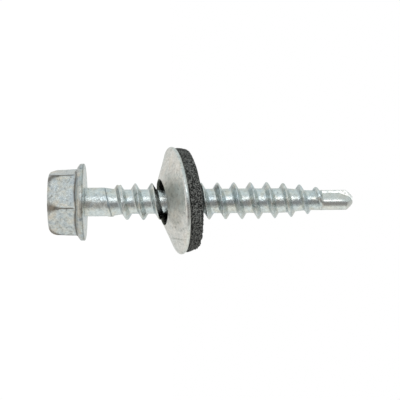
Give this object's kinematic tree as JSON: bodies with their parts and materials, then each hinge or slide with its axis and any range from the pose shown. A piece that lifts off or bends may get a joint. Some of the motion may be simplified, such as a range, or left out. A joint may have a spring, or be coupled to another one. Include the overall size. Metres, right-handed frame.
{
  "type": "self-drilling screw",
  "caption": "Hex washer head self-drilling screw with coarse right-hand thread, forged drill point and a loose tilted metal washer bonded to a rubber seal.",
  "frame": {"origin": "centre of the hexagon head's top face, which the screw stands on", "axes": "+Z along the screw from the head's top face to the drill tip; +X is where a thread turn is counted from"},
  "size_m": [0.014, 0.0139, 0.0393],
  "materials": {
    "zinc_steel": "satin zinc plating",
    "washer_steel": "satin zinc plating",
    "seal_rubber": "matte, fine grained"
  },
  "bodies": {
    "screw": {"screw": "zinc_steel"},
    "washer": {"dished_washer": "washer_steel", "epdm_seal": "seal_rubber"}
  },
  "joints": [
    {"name": "washer_slide", "type": "slide", "parent": "screw", "child": "washer", "axis": [0, 0, 1], "range_m": [-0.0092, 0.0164]}
  ]
}
